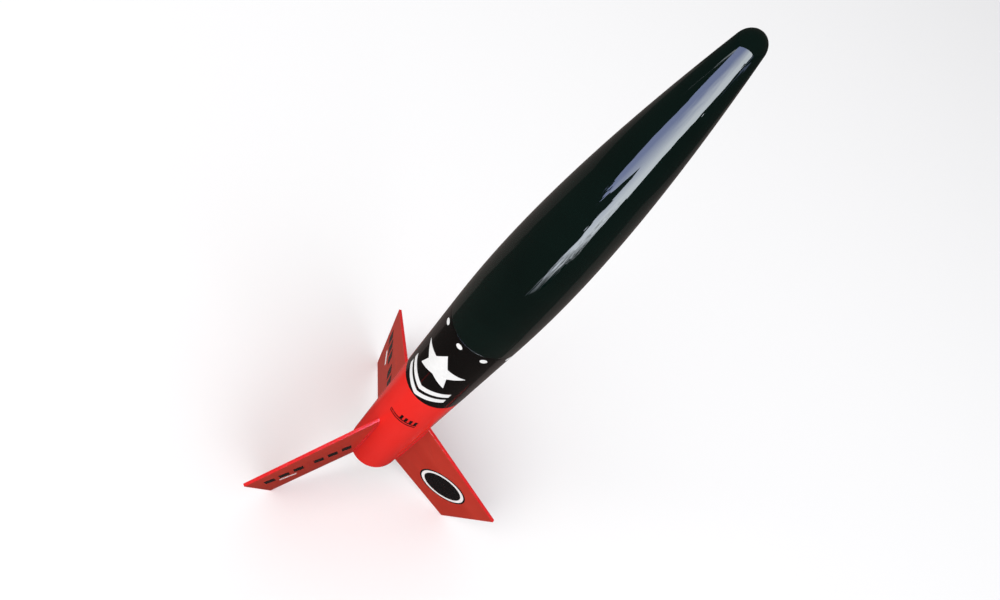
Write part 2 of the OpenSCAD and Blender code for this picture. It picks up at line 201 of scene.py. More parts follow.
def remap(tree, value, low, high, to_low, to_high):
    node = tree.nodes.new("ShaderNodeMapRange")
    node.inputs["From Min"].default_value = low
    node.inputs["From Max"].default_value = high
    node.inputs["To Min"].default_value = to_low
    node.inputs["To Max"].default_value = to_high
    link(tree, value, node.inputs["Value"])
    return node.outputs["Result"]


def math_node(tree, operation, a, b):
    node = tree.nodes.new("ShaderNodeMath")
    node.operation = operation
    for index, value in enumerate((a, b)):
        if isinstance(value, (int, float)):
            node.inputs[index].default_value = value
        else:
            link(tree, value, node.inputs[index])
    return node.outputs[0]


def mix_colours(tree, share, a, b):
    node = tree.nodes.new("ShaderNodeMix")
    node.data_type = "RGBA"
    link(tree, share, node.inputs["Factor"])
    for socket, colour in ((node.inputs["A"], a), (node.inputs["B"], b)):
        if isinstance(colour, tuple):
            socket.default_value = (*colour, 1)
        else:
            link(tree, colour, socket)
    return node.outputs["Result"]


def bump(tree, shader, height, strength, distance):
    node = tree.nodes.new("ShaderNodeBump")
    node.inputs["Strength"].default_value = strength
    node.inputs["Distance"].default_value = distance
    link(tree, height, node.inputs["Height"])
    link(tree, node.outputs[0], shader.inputs["Normal"])


def varied(tree, shader, dark, light, scale, stretch=(1, 1, 1)):
    """A base colour that wanders between two shades."""
    share = remap(tree, noise_node(tree, position(tree, stretch), scale), 0.3, 0.7, 0, 1)
    link(tree, mix_colours(tree, share, dark, light), shader.inputs["Base Color"])


def varied_roughness(tree, shader, low, high, scale, stretch=(1, 1, 1)):
    share = noise_node(tree, position(tree, stretch), scale)
    link(tree, remap(tree, share, 0.3, 0.7, low, high), shader.inputs["Roughness"])


# ------------------------------------------------------------------ materials

RED = (0.90, 0.022, 0.015)
RED_DEEP = (0.84, 0.017, 0.012)
BAND_BLACK = (0.0022, 0.0018, 0.0018)


def nose_material():
    """Blow-moulded black plastic, polished, with faint lengthwise wiping marks."""
    material, tree, shader = new_material("nose_gloss")
    varied(tree, shader, (0.0008, 0.0040, 0.0032), (0.0018, 0.0078, 0.0062), 14)
    varied_roughness(tree, shader, 0.02, 0.06, 60, (1, 1, 0.08))
    ripple = noise_node(tree, position(tree, (1, 1, 0.03)), 800, detail=1)
    patches = remap(tree, noise_node(tree, position(tree, (1, 1, 0.4)), 75, detail=1), 0.45, 0.6, 0, 1)
    bump(tree, shader, math_node(tree, "MULTIPLY", ripple, patches), 0.6, 0.14 * MM)
    return material


def tube_material():
    """Red lacquer aft, black lacquer ahead of the masked edge, and bare card inside."""
    material, tree, shader = new_material("tube_lacquer")
    place = position(tree)
    split = tree.nodes.new("ShaderNodeSeparateXYZ")
    link(tree, place, split.inputs[0])
    radius = tree.nodes.new("ShaderNodeVectorMath")
    radius.operation = "LENGTH"
    flat = tree.nodes.new("ShaderNodeCombineXYZ")
    link(tree, split.outputs["X"], flat.inputs["X"])
    link(tree, split.outputs["Y"], flat.inputs["Y"])
    link(tree, flat.outputs[0], radius.inputs[0])
    ragged = remap(tree, noise_node(tree, place, 420, detail=2), 0, 1, -0.12 * MM, 0.12 * MM)
    edge_height = math_node(tree, "ADD", split.outputs["Z"], ragged)
    ahead = remap(tree, edge_height, PAINT_SPLIT_Z - 0.05 * MM, PAINT_SPLIT_Z + 0.05 * MM, 0, 1)
    outside = remap(tree, radius.outputs["Value"], TUBE_R - 0.3 * MM, TUBE_R - 0.2 * MM, 0, 1)
    red = mix_colours(tree, noise_node(tree, position(tree, (1, 1, 0.25)), 55), RED_DEEP, RED)
    paint = mix_colours(tree, ahead, red, BAND_BLACK)
    card = mix_colours(tree, noise_node(tree, position(tree), 900), (0.32, 0.2, 0.1), (0.5, 0.34, 0.19))
    link(tree, mix_colours(tree, outside, card, paint), shader.inputs["Base Color"])
    gloss = remap(tree, noise_node(tree, position(tree, (1, 1, 0.15)), 120), 0.3, 0.7, 0.14, 0.26)
    rough = math_node(tree, "SUBTRACT", gloss, math_node(tree, "MULTIPLY", ahead, 0.08))
    matt = math_node(tree, "SUBTRACT", 1.0, outside)
    card_rough = math_node(tree, "MULTIPLY", matt, 0.6)
    link(tree, math_node(tree, "ADD", rough, card_rough), shader.inputs["Roughness"])
    peel = noise_node(tree, position(tree), 520, detail=2)
    bump(tree, shader, peel, 0.08, 0.05 * MM)
    return material


def fin_material():
    """Lacquered balsa: the grain, along the leading edge, shows faintly through the red. The red is
    darker than the tube's and the edges', as painted shade on the fins' faces.
    """
    material, tree, shader = new_material("fin_lacquer_painted_shade")
    turned = tree.nodes.new("ShaderNodeMapping")
    turned.inputs["Rotation"].default_value = (0, -FIN_SWEEP, 0)
    coords = tree.nodes.new("ShaderNodeTexCoord")
    link(tree, coords.outputs["Object"], turned.inputs["Vector"])
    stretched = tree.nodes.new("ShaderNodeMapping")
    stretched.inputs["Scale"].default_value = (0.05, 1, 1)
    link(tree, turned.outputs[0], stretched.inputs["Vector"])
    wide = noise_node(tree, stretched.outputs[0], 130, detail=1)
    share = remap(tree, wide, 0.3, 0.7, 0, 1)
    # painted shade: the fins' faces get a darker red than the same lacquer on the tube and the edges
    shade = mix_colours(tree, share, (0.47, 0.023, 0.009), (0.52, 0.029, 0.012))
    link(tree, shade, shader.inputs["Base Color"])
    link(tree, remap(tree, wide, 0.3, 0.7, 0.3, 0.36), shader.inputs["Roughness"])
    bump(tree, shader, wide, 0.03, 0.02 * MM)
    return material


def edge_material():
    """The red of the fins' edges and glue fillets, brighter than the fins' faces, whose red is darkened
    as painted shade.
    """
    material, tree, shader = new_material("edge_lacquer")
    varied(tree, shader, (0.66, 0.012, 0.014), (0.78, 0.02, 0.022), 120)
    varied_roughness(tree, shader, 0.16, 0.28, 200)
    bump(tree, shader, noise_node(tree, position(tree), 700), 0.1, 0.04 * MM)
    return material


def decal_material(name, dark, light):
    """Printed film: a gloss layer with the slightest ripple."""
    material, tree, shader = new_material(name)
    varied(tree, shader, dark, light, 260)
    varied_roughness(tree, shader, 0.18, 0.3, 300)
    bump(tree, shader, noise_node(tree, position(tree), 160, detail=1), 0.04, 0.02 * MM)
    return material


def card_material(name="kraft_card", dark=(0.29, 0.18, 0.09), light=(0.5, 0.34, 0.19)):
    """Brown card, with fibres lying round the tube."""
    material, tree, shader = new_material(name)
    varied(tree, shader, dark, light, 700, (1, 1, 3))
    varied_roughness(tree, shader, 0.7, 0.92, 900)
    bump(tree, shader, noise_node(tree, position(tree, (1, 1, 4)), 1400), 0.35, 0.05 * MM)
    return material


def steel_material():
    material, tree, shader = new_material("spring_steel")
    varied(tree, shader, (0.36, 0.37, 0.39), (0.58, 0.59, 0.61), 900, (1, 1, 0.05))
    varied_roughness(tree, shader, 0.22, 0.42, 1600, (1, 1, 0.04))
    bump(tree, shader, noise_node(tree, position(tree, (1, 1, 0.03)), 5200), 0.15, 0.01 * MM)
    shader.inputs["Metallic"].default_value = 1.0
    return material


def powder_material(name, dark, light):
    """Pressed powder or clay, with its grain."""
    material, tree, shader = new_material(name)
    varied(tree, shader, dark, light, 1800)
    varied_roughness(tree, shader, 0.8, 0.97, 1500)
    bump(tree, shader, noise_node(tree, position(tree), 3000), 0.5, 0.08 * MM)
    return material


def canopy_material():
    """Thin plastic film in two colours, wrinkled by folding."""
    material, tree, shader = new_material("canopy_film")
    split = tree.nodes.new("ShaderNodeSeparateXYZ")
    link(tree, position(tree), split.inputs[0])
    bands = math_node(tree, "SINE", math_node(tree, "MULTIPLY", split.outputs["Z"], TAU / (32 * MM)), 0)
    share = remap(tree, bands, -0.04, 0.04, 0, 1)
    fade = noise_node(tree, position(tree), 90)
    orange = mix_colours(tree, fade, (0.80, 0.17, 0.015), (0.9, 0.25, 0.03))
    link(tree, mix_colours(tree, share, orange, (0.82, 0.8, 0.76)), shader.inputs["Base Color"])
    varied_roughness(tree, shader, 0.22, 0.4, 300)
    crease = noise_node(tree, position(tree), 240, detail=5, distortion=1.4)
    bump(tree, shader, crease, 0.8, 0.9 * MM)
    shader.inputs["Sheen Weight"].default_value = 0.15
    return material


def thread_material(name, dark, light, pitch):
    """Twisted or woven thread: fine slanting ribs along its length."""
    material, tree, shader = new_material(name)
    varied(tree, shader, dark, light, 1400)
    wave = tree.nodes.new("ShaderNodeTexWave")
    wave.bands_direction = "DIAGONAL"
    wave.inputs["Scale"].default_value = 1 / pitch
    wave.inputs["Distortion"].default_value = 0.6
    link(tree, position(tree), wave.inputs["Vector"])
    bump(tree, shader, wave.outputs["Fac"], 0.6, 0.08 * MM)
    varied_roughness(tree, shader, 0.7, 0.9, 900)
    shader.inputs["Sheen Weight"].default_value = 0.3
    return material


def tissue_material():
    material, tree, shader = new_material("tissue")
    varied(tree, shader, (0.66, 0.74, 0.80), (0.86, 0.9, 0.93), 220)
    varied_roughness(tree, shader, 0.75, 0.95, 500)
    bump(tree, shader, noise_node(tree, position(tree), 500, detail=6, distortion=0.8), 0.6, 0.3 * MM)
    return material


def plain_plastic_material():
    """The nose's insert: the same black plastic, as moulded."""
    material, tree, shader = new_material("moulded_plastic")
    varied(tree, shader, (0.006, 0.007, 0.007), (0.014, 0.015, 0.015), 300)
    varied_roughness(tree, shader, 0.32, 0.5, 900)
    bump(tree, shader, noise_node(tree, position(tree), 2200), 0.2, 0.03 * MM)
    return material


MAT = {
    "nose": nose_material(),
    "tube": tube_material(),
    "fin": fin_material(),
    "edge": edge_material(),
    "white": decal_material("decal_white", (0.87, 0.87, 0.86), (0.93, 0.93, 0.92)),
    "black": decal_material("decal_black", (0.002, 0.002, 0.003), (0.005, 0.004, 0.006)),
    "kraft": card_material(),
    "motor_paper": card_material("motor_paper", (0.36, 0.25, 0.15), (0.55, 0.41, 0.27)),
    "white_paper": card_material("white_paper", (0.66, 0.64, 0.58), (0.84, 0.83, 0.78)),
    "tape": card_material("tape", (0.62, 0.54, 0.34), (0.8, 0.72, 0.5)),
    "steel": steel_material(),
    "clay": powder_material("clay", (0.3, 0.28, 0.25), (0.5, 0.48, 0.43)),
    "powder": powder_material("powder", (0.015, 0.015, 0.017), (0.05, 0.05, 0.052)),
    "delay": powder_material("delay", (0.11, 0.1, 0.09), (0.22, 0.21, 0.19)),
    "canopy": canopy_material(),
    "elastic": thread_material("elastic", (0.66, 0.64, 0.58), (0.86, 0.84, 0.79), 0.7 * MM),
    "thread": thread_material("cotton_thread", (0.68, 0.65, 0.57), (0.88, 0.86, 0.8), 0.4 * MM),
    "tissue": tissue_material(),
    "insert": plain_plastic_material(),
}


# ------------------------------------------------------------------ mesh helpers

def add_object(name, mesh, *materials):
    piece = bpy.data.objects.new(name, mesh)
    bpy.context.scene.collection.objects.link(piece)
    for material in materials:
        mesh.materials.append(MAT[material])
    return piece


def shade_smooth(mesh, angle):
    mesh.polygons.foreach_set("use_smooth", [True] * len(mesh.polygons))
    mesh.set_sharp_from_angle(angle=math.radians(angle))


def grid_mesh(name, rows, closed_rows=True, closed_columns=False):
    """A mesh through a grid of points. Each row is a ring when closed_rows is set."""
    mesh = bpy.data.meshes.new(name)
    count = len(rows[0])
    points = [point for row in rows for point in row]
    faces = []
    last = len(rows) if closed_columns else len(rows) - 1
    across = count if closed_rows else count - 1
    for i in range(last):
        below, above = i * count, ((i + 1) % len(rows)) * count
        for j in range(across):
            k = (j + 1) % count
            faces.append((below + j, below + k, above + k, above + j))
    mesh.from_pydata(points, [], faces)
    mesh.validate()
    return mesh


def lathe(name, profile, segments, wobble=None):
    """A closed surface of revolution. profile is a closed loop of (radius, height)."""
    rows = []
    for radius, z in profile:
        row = []
        for j in range(segments):
            a = TAU * j / segments
            r = radius + (wobble(radius, a, z) if wobble else 0)
            row.append((r * math.cos(a), r * math.sin(a), z))
        rows.append(row)
    return grid_mesh(name, rows, closed_columns=True)


def arc_points(centre, radius, start, end, steps):
    """Points on an arc, with both ends, from start to end in degrees."""
    return [
        (centre[0] + radius * math.cos(math.radians(start + (end - start) * i / steps)),
         centre[1] + radius * math.sin(math.radians(start + (end - start) * i / steps)))
        for i in range(steps + 1)
    ]


def spaced(a, b, steps):
    """Points along a straight line from a to b, without b."""
    return [(a[0] + (b[0] - a[0]) * i / steps, a[1] + (b[1] - a[1]) * i / steps) for i in range(steps)]


def polar(radius, degrees, z, centre=(0, 0)):
    a = math.radians(degrees)
    return Vector((centre[0] + radius * math.cos(a), centre[1] + radius * math.sin(a), z))


def smooth_path(points, step):
    """A Catmull-Rom curve through the points, with a point about every step."""
    out = []
    for i in range(len(points) - 1):
        p0 = points[max(i - 1, 0)]
        p1, p2 = points[i], points[i + 1]
        p3 = points[min(i + 2, len(points) - 1)]
        count = max(1, round((p2 - p1).length / step))
        for k in range(count):
            t = k / count
            out.append(0.5 * (
                2 * p1 + (p2 - p0) * t
                + (2 * p0 - 5 * p1 + 4 * p2 - p3) * t * t
                + (3 * p1 - p0 - 3 * p2 + p3) * t ** 3
            ))
    out.append(points[-1].copy())
    return out


def sweep(path, radius, sides, closed=False, flat=1.0):
    """Rings of a thread along a path, with the twist kept low. flat is its height over its width."""
    rows = []
    normal = None
    count = len(path)
    for i, point in enumerate(path):
        before = path[i - 1] if closed or i > 0 else path[0]
        after = path[(i + 1) % count] if closed or i < count - 1 else path[-1]
        tangent = (after - before).normalized()
        if normal is None:
            normal = tangent.orthogonal().normalized()
        normal = (normal - tangent * normal.dot(tangent)).normalized()
        other = tangent.cross(normal)
        row = []
        for j in range(sides):
            offset = radius * (math.cos(TAU * j / sides) * normal + math.sin(TAU * j / sides) * other)
            offset.z *= flat
            row.append(tuple(point + offset))
        rows.append(row)
    return rows


def add_thread(bm, path, radius, sides=8, closed=False, flat=1.0):
    """Adds a swept thread to a bmesh, with its ends closed."""
    rows = [[bm.verts.new(p) for p in row] for row in sweep(path, radius, sides, closed, flat)]
    pairs = list(zip(rows, rows[1:]))
    if closed:
        pairs.append((rows[-1], rows[0]))
    for below, above in pairs:
        for j in range(sides):
            k = (j + 1) % sides
            bm.faces.new((below[j], below[k], above[k], above[j]))
    if not closed:
        bm.faces.new(list(reversed(rows[0])))
        bm.faces.new(rows[-1])


def add_knot(bm, centre, radius):
    """A small overhand knot: a ball of three tight loops."""
    for turn in range(3):
        a = TAU * turn / 6
        u = Vector((math.cos(a), math.sin(a), 0.35)).normalized()
        v = u.orthogonal().normalized()
        loop = [
            centre + radius * 0.55 * (math.cos(TAU * i / 20) * u + math.sin(TAU * i / 20) * v)
            for i in range(20)
        ]
        add_thread(bm, loop, radius * 0.45, 8, closed=True)


def from_bmesh(name, bm):
    mesh = bpy.data.meshes.new(name)
    bmesh.ops.recalc_face_normals(bm, faces=bm.faces)
    bm.to_mesh(mesh)
    bm.free()
    return mesh


# ------------------------------------------------------------------ the nose

def nose_side(offset, steps):
    """The nose wall's line: a parabola-like middle line, thickened by a ball of the offset's radius."""
    middle_r = TUBE_R - TIP_R
    length = TIP_Z - JOINT_Z - TIP_R
    points = []
    for i in range(steps + 1):
        s = i / steps
        slope = math.atan2(middle_r * NOSE_FULLNESS * s ** (NOSE_FULLNESS - 1), length)
        points.append((
            middle_r * (1 - s ** NOSE_FULLNESS) + offset * math.cos(slope),
            JOINT_Z + length * s + offset * math.sin(slope),
        ))
    end = math.degrees(slope)
    tip = arc_points((0, JOINT_Z + length), offset, end, 89.5, 14)
    return points + tip[1:]


def make_nose():
    lip = 0.1 * MM
    shoulder_end = 0.8 * MM
    outside = nose_side(TIP_R, 110)
    inside = nose_side(TIP_R - NOSE_WALL, 60)
    inner_r = SHOULDER_R - NOSE_WALL
    profile = (
        spaced((inner_r + 0.3 * MM, SHOULDER_Z), (SHOULDER_R - shoulder_end, SHOULDER_Z), 3)
        + arc_points((SHOULDER_R - shoulder_end, SHOULDER_Z + shoulder_end), shoulder_end, -90, 0, 5)
        + spaced((SHOULDER_R, SHOULDER_Z + 2 * MM), (SHOULDER_R, JOINT_Z), 6)
        + [(SHOULDER_R, JOINT_Z), (TUBE_R - lip, JOINT_Z)]
        + arc_points((TUBE_R - lip, JOINT_Z + lip), lip, -60, 0, 4)
        + [p for p in outside if p[1] > JOINT_Z + 1.5 * lip]
        + list(reversed(inside))
        + [(inner_r, JOINT_Z - 2.5 * MM)]
    )

    def seam(radius, a, z):
        """The faint ridge that the mould's two halves leave along the nose."""
        if z < JOINT_Z + 3 * MM or radius < 2 * MM:
            return 0
        off = abs((a - math.radians(128)) % math.pi)
        distance = min(off, math.pi - off) * radius
        return 0.05 * MM * math.exp(-(distance / (0.35 * MM)) ** 2)

    mesh = lathe("nose_shell", profile, 288, seam)
    shade_smooth(mesh, 40)
    piece = add_object("nose_shell", mesh, "nose")
    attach(piece, "nose")
    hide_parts("nose_cone")


# ------------------------------------------------------------------ the tube

def make_tube():
    wall_edge = 0.1 * MM
    inner_r = TUBE_R - TUBE_WALL
    profile = (
        arc_points((TUBE_R - wall_edge, wall_edge), wall_edge, -90, 0, 3)
        + spaced((TUBE_R, 1 * MM), (TUBE_R, JOINT_Z - 1 * MM), 220)
        + arc_points((TUBE_R - wall_edge, JOINT_Z - wall_edge), wall_edge, 0, 90, 3)
        + spaced((inner_r, JOINT_Z - 0.1 * MM), (inner_r, 0.1 * MM), 60)
        + [(inner_r, 0)]
    )
    wind = 96 * MM
    paint_edge = 0.05 * MM

    def winding(radius, a, z):
        """The shallow spiral groove where the card strips meet, and the step of the black coat."""
        if radius < TUBE_R - 0.05 * MM:
            return 0
        along = (z - wind * a / TAU) % wind
        gap = min(along, wind - along)
        groove = -0.07 * MM * math.exp(-(gap / (0.7 * MM)) ** 2)
        coat = paint_edge if z > PAINT_SPLIT_Z else 0
        return groove + coat - paint_edge

    mesh = lathe("tube_shell", profile, 240, winding)
    shade_smooth(mesh, 40)
    piece = add_object("tube_shell", mesh, "tube")
    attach(piece, "airframe")
    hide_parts("body_tube")


# ------------------------------------------------------------------ the fins

def fin_outline():
    """The fin's corners, as (distance from the axis, height)."""
    hidden = TUBE_R - 0.5 * MM
    trailing, leading = (FIN_TRAIL_OUT, FIN_TRAIL_Z), (FIN_OUT, FIN_LEAD_Z)
    return [(hidden, 0), trailing, leading, (TUBE_R, FIN_ROOT), (hidden, FIN_ROOT)]


def fillet_section(side, size, shrink):
    """Points across the glue fillet, from the tube to the fin, on one side of the fin."""
    reach = size * shrink
    half = FIN_T / 2
    start = math.asin((half + reach) / TUBE_R)
    centre = ((TUBE_R + reach) * math.cos(start), half + reach)
    on_tube = (TUBE_R * math.cos(start), TUBE_R * math.sin(start))
    arc = []
    for i in range(7):
        t = i / 6
        a = math.radians(180 + 90 * t)
        arc.append((centre[0] + reach * math.cos(a), centre[1] + reach * math.sin(a)))
    inner = [(TUBE_R - 0.4 * MM, half - 0.3 * MM), (on_tube[0] - 0.3 * MM, on_tube[1] - 0.3 * MM)]
    return [(x, side * y) for x, y in inner + [on_tube] + arc[1:]]


def make_fin(index, angle):
    bm = bmesh.new()
    low = [bm.verts.new((x, -FIN_T / 2, z)) for x, z in fin_outline()]
    high = [bm.verts.new((x, FIN_T / 2, z)) for x, z in fin_outline()]
    bm.faces.new(low)
    bm.faces.new(list(reversed(high)))
    count = len(low)
    for i in range(count):
        k = (i + 1) % count
        face = bm.faces.new((low[k], low[i], high[i], high[k]))
        face.material_index = 1
    bmesh.ops.recalc_face_normals(bm, faces=bm.faces)
    rims = [e for e in bm.edges if all(abs(v.co.y) > FIN_T / 4 for v in e.verts)
            and e.verts[0].co.y * e.verts[1].co.y > 0]
    bmesh.ops.bevel(bm, geom=rims, offset=0.3 * MM, segments=3, profile=0.6, affect="EDGES", material=1)
    mesh = from_bmesh(f"fin_{index}_board", bm)
    shade_smooth(mesh, 30)
    piece = add_object(f"fin_{index}_board", mesh, "fin", "edge")
    piece.rotation_euler.z = math.radians(angle)
    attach(piece, "airframe")
    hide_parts(f"fin_{index}")


def make_fillets():
    """The glue fillets along both sides of each fin's root."""
    bm = bmesh.new()
    steps = 40
    for angle in FIN_ANGLES:
        turn = Matrix.Rotation(math.radians(angle), 3, "Z")
        for side in (-1, 1):
            rows = []
            for i in range(steps + 1):
                t = i / steps
                taper = 0.35 + 0.65 * min(1, 8 * t, 8 * (1 - t)) ** 0.5
                wave = 1 + 0.05 * math.sin(11 * t + angle)
                z = 0.4 * MM + (FIN_ROOT - 1.2 * MM) * t
                section = fillet_section(side, FILLET_R, taper * wave)
                rows.append([bm.verts.new(turn @ Vector((x, y, z))) for x, y in section])
            for below, above in zip(rows, rows[1:]):
                for j in range(len(below)):
                    k = (j + 1) % len(below)
                    bm.faces.new((below[j], below[k], above[k], above[j]))
            bm.faces.new(list(reversed(rows[0])))
            bm.faces.new(rows[-1])
    mesh = from_bmesh("fin_fillets", bm)
    shade_smooth(mesh, 40)
    piece = add_object("fin_fillets", mesh, "edge")
    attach(piece, "airframe")


# ------------------------------------------------------------------ the recovery train

def cord_route():
    """The elastic's way: out of its mount, folded to and fro up the wall, then to the nose's eyelet."""
    folds = int((CORD_TOP_Z - CORD_START_Z) / CORD_PITCH + 1e-6)
    points = [
        polar(TUBE_R - TUBE_WALL - MOUNT_T - CORD_R - 0.1 * MM, CORD_AZ - CORD_HALF_ANGLE / 3,
              mount_high.z - 10 * MM),
        polar(CORD_PATH_R, CORD_AZ - CORD_HALF_ANGLE * 0.7, CORD_START_Z - 2 * MM),
    ]
    for fold in range(folds):
        side = 1 if fold % 2 == 0 else -1
        z = CORD_START_Z + fold * CORD_PITCH
        for i in range(CORD_STEPS + 1):
            share = 2 * i / CORD_STEPS - 1
            lean = 1 if i == CORD_STEPS else -1 if i == 0 and fold else 0
            height = z + CORD_PITCH * CORD_LIFT * lean
            points.append(polar(CORD_PATH_R, CORD_AZ + side * CORD_HALF_ANGLE * share, height))
    last = points[-1]
    points.append(Vector((last.x * 0.7, last.y * 0.7, last.z + 1 * MM)))
    points.append(eye_point(CORD_EYE_ANGLE, CORD_KNOT_REACH))
    return points


def eye_point(degrees, reach):
    """A point beside the eyelet's wire, at that angle from its lowest point and that far outside it."""
    a = math.radians(degrees)
    return Vector(((EYE_R + reach) * math.sin(a), 0, SHOULDER_Z - (EYE_R + reach) * math.cos(a)))


def eye_loop(degrees, radius):
    """Points of a loop tied round the eyelet's wire."""
    centre = eye_point(degrees, 0)
    outward = (eye_point(degrees, 1 * MM) - centre).normalized()
    across = Vector((0, 1, 0))
    return [
        centre + radius * (math.cos(TAU * i / 28) * outward + math.sin(TAU * i / 28) * across)
        for i in range(28)
    ]


def make_shock_cord():
    bm = bmesh.new()
    add_thread(bm, smooth_path(cord_route(), 1.3 * MM), CORD_R, 10, flat=CORD_FLATNESS)
    add_knot(bm, eye_point(CORD_EYE_ANGLE, CORD_KNOT_REACH), CORD_KNOT_R)
    add_thread(bm, eye_loop(CORD_EYE_ANGLE, CORD_LOOP_R), CORD_R * 0.95, 10, closed=True)
    mesh = from_bmesh("elastic_cord", bm)
    shade_smooth(mesh, 60)
    piece = add_object("elastic_cord", mesh, "elastic")
    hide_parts("shock_cord")
    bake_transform(piece)


def make_canopy():
    """The canopy, folded flat and rolled: one spiral of film with soft creases."""
    rng = random.Random(12)
    width = roll_high.z - roll_low.z - 1 * MM
    length = CANOPY_AREA / width
    inner_r, outer_r = 2.5 * MM, ROLL_R - 0.4 * MM
    pitch = math.pi * (outer_r ** 2 - inner_r ** 2) / length
    turns = (outer_r - inner_r) / pitch
    around, along = 36, 44
    steps = int(turns * around)
    offset = Vector((rng.random(), rng.random(), rng.random())) * 10
    rows = []
    for i in range(steps + 1):
        t = i / steps
        angle = TAU * turns * t
        radius = inner_r + (outer_r - inner_r) * t
        row = []
        for j in range(along + 1):
            s = j / along
            z = roll_low.z + 0.5 * MM + width * s
            crease = noise.noise(Vector((angle * 0.9, s * 9, t * 3)) + offset)
            pull = 0.25 * pitch * crease
            shrink = 1 - 0.1 * max(0, abs(2 * s - 1) - 0.82) / 0.18
            r = (radius + pull) * shrink
            row.append((r * math.cos(angle), ROLL_Y + r * math.sin(angle), z))
        rows.append(row)
    mesh = grid_mesh("canopy_roll", rows, closed_rows=False)
    shade_smooth(mesh, 60)
    piece = add_object("canopy_roll", mesh, "canopy")
    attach(piece, "canopy")
    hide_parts("parachute")


def line_route(index, knot):
    """One line: wrapped up round the roll, over its edge, then to the knot."""
    reach = ROLL_R + LINE_GAP + LINE_R
    lift = index * LINE_PITCH
    bottom, top, over = roll_low.z + 7 * MM, roll_high.z - 9 * MM, roll_high.z - 2 * MM
    points = []
    for i in range(LINE_STEPS + 1):
        t = i / LINE_STEPS
        z = bottom + lift + (top - bottom) * t
        points.append(polar(reach, 270 + 360 * LINE_TURNS * t, z, (0, ROLL_Y)))
    for i in range(1, LINE_LEAD_STEPS + 1):
        t = i / LINE_LEAD_STEPS
        z = top + lift + (over - top) * t
        points.append(polar(reach, 270 + 360 * LINE_TURNS + LINE_LEAD_ANGLE * t, z, (0, ROLL_Y)))
    return points + [points[-1].lerp(knot, 0.5), knot]


def make_lines():
    """The lines round the roll, gathered to a knot under the eyelet."""
    bm = bmesh.new()
    knot = eye_point(LINE_EYE_ANGLE, LINE_KNOT_REACH)
    for index in range(LINE_COUNT):
        add_thread(bm, smooth_path(line_route(index, knot), 1.5 * MM), LINE_R, 8)
    add_knot(bm, knot, LINE_KNOT_R)
    add_thread(bm, eye_loop(LINE_EYE_ANGLE, LINE_LOOP_R), 0.7 * MM, 8, closed=True)
    mesh = from_bmesh("canopy_lines", bm)
    shade_smooth(mesh, 60)
    piece = add_object("canopy_lines", mesh, "thread")
    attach(piece, "canopy")
    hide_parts("shroud_lines")


def make_wadding():
    """Crumpled tissue squares between the motor and the parachute."""
    centre = (wad_low + wad_high) / 2
    half = (wad_high - wad_low) / 2
    folds = ((3.1, 1.0), (7.3, 0.6), (15, 0.3))
    bm = bmesh.new()
    bmesh.ops.create_icosphere(bm, subdivisions=6, radius=1)
    for vert in bm.verts:
        p = vert.co.copy()
        fold = sum(depth * abs(noise.noise(p * scale)) for scale, depth in folds)
        flat = Vector((p.x, p.y, 0))
        squared = max(flat.length, abs(p.z))
        shape = p / squared ** 0.8
        shape *= 0.98 - 0.26 * fold
        vert.co = Vector((shape.x * half.x, shape.y * half.y, shape.z * half.z * 0.95)) + centre
    limit_r, limit_z = half.x * 0.99, half.z
    for vert in bm.verts:
        flat = Vector((vert.co.x, vert.co.y, 0))
        if flat.length > limit_r:
            flat *= limit_r / flat.length
        z = min(max(vert.co.z, centre.z - limit_z), centre.z + limit_z)
        vert.co = Vector((flat.x, flat.y, z))
    mesh = from_bmesh("tissue_wadding", bm)
    shade_smooth(mesh, 35)
    piece = add_object("tissue_wadding", mesh, "tissue")
    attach(piece, "airframe")
    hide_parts("recovery_wadding")


# ------------------------------------------------------------------ parts kept as packed

KEPT = {
    "launch_lug": "edge",
    "motor_tube": "kraft",
    "thrust_ring": "kraft",
    "forward_centering_ring": "kraft",
    "aft_centering_ring": "kraft",
    "shock_cord_mount": "white_paper",
    "tube_emblem": "white",
    "joint_dots": "white",
    "tube_pinstripes": "black",
    "fin_decals_black": "black",
    "fin_decals_white": "white",
    "engine_hook": "steel",
    "motor_casing": "motor_paper",
    "motor_nozzle": "clay",
    "propellant_grain": "powder",
    "delay_grain": "delay",
    "ejection_charge": "powder",
    "motor_end_cap": "clay",
    "nose_base": "insert",
    "line_tapes": "tape",
}


def dress_kept_parts():
    for name, material in KEPT.items():
        for material_slot in NODES[name].material_slots:
            material_slot.material = MAT[material]


# ------------------------------------------------------------------ studio

def make_floor():
    """A pale floor. Reflections see it darker, as a studio's dim surroundings."""
    size = 40.0
    mesh = bpy.data.meshes.new("floor")
    rim = [polar(size, 5 * i, cad_low.z) for i in range(72)]
    mesh.from_pydata(rim, [], [tuple(range(72))])
    floor = bpy.data.objects.new("floor", mesh)
    bpy.context.scene.collection.objects.link(floor)
    material, tree, shader = new_material("floor_pale")
    rays = tree.nodes.new("ShaderNodeLightPath")
    pale, dim = (0.92, 0.92, 0.92), (0.05, 0.043, 0.038)
    shade = mix_colours(tree, rays.outputs["Is Glossy Ray"], pale, dim)
    link(tree, shade, shader.inputs["Base Color"])
    shader.inputs["Roughness"].default_value = 0.9
    shader.inputs["Specular IOR Level"].default_value = 0.1
    mesh.materials.append(material)


def make_world():
    world = bpy.data.worlds.new("studio")
    world.use_nodes = True
    tree = world.node_tree
    tree.nodes.clear()
    out = tree.nodes.new("ShaderNodeOutputWorld")
    background = tree.nodes.new("ShaderNodeBackground")
    rays = tree.nodes.new("ShaderNodeLightPath")
    colour = mix_colours(tree, rays.outputs["Is Glossy Ray"], (0.98, 0.98, 1.0), (0.09, 0.075, 0.068))
    link(tree, colour, background.inputs["Color"])
    background.inputs["Strength"].default_value = 0.72
    link(tree, background.outputs[0], out.inputs[0])
    bpy.context.scene.world = world


